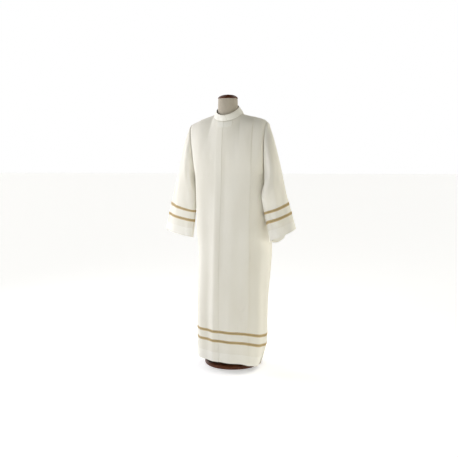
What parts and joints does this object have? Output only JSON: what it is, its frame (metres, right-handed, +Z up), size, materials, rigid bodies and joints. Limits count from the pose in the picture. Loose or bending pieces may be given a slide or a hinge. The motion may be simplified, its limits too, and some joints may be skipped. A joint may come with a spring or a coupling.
{
  "type": "alb robe on a dress form",
  "caption": "Ivory liturgical alb with a standing collar, long pleats and gold braid at hem and cuffs, worn by a limbless linen dress form on a round dark wooden base.",
  "frame": {"origin": "middle of the underside of the form's round base, on the floor", "axes": "+Z up; the robe faces -Y; the wearer's left side is at +X"},
  "size_m": [0.8589, 0.3983, 1.6005],
  "materials": {
    "alb_cloth": "matt woven ivory polyester",
    "gold_braid": "woven gold metallic braid",
    "form_linen": "coarse natural linen",
    "dark_wood": "gloss varnished dark wood",
    "pole_steel": "satin"
  },
  "bodies": {
    "root": {"back": "alb_cloth", "braid_cuff_lower_left": "gold_braid", "braid_cuff_lower_right": "gold_braid", "braid_cuff_upper_left": "gold_braid", "braid_cuff_upper_right": "gold_braid", "braid_hem_lower_back": "gold_braid", "braid_hem_lower_front_left": "gold_braid", "braid_hem_lower_front_right": "gold_braid", "braid_hem_lower_side_left": "gold_braid", "braid_hem_lower_side_right": "gold_braid", "braid_hem_upper_back": "gold_braid", "braid_hem_upper_front_left": "gold_braid", "braid_hem_upper_front_right": "gold_braid", "braid_hem_upper_side_left": "gold_braid", "braid_hem_upper_side_right": "gold_braid", "closure_tab": "alb_cloth", "collar": "alb_cloth", "form_base": "dark_wood", "form_body": "form_linen", "form_neck_cap": "dark_wood", "form_pole": "pole_steel", "front_left": "alb_cloth", "front_right": "alb_cloth", "sleeve_left": "alb_cloth", "sleeve_right": "alb_cloth"}
  },
  "joints": []
}
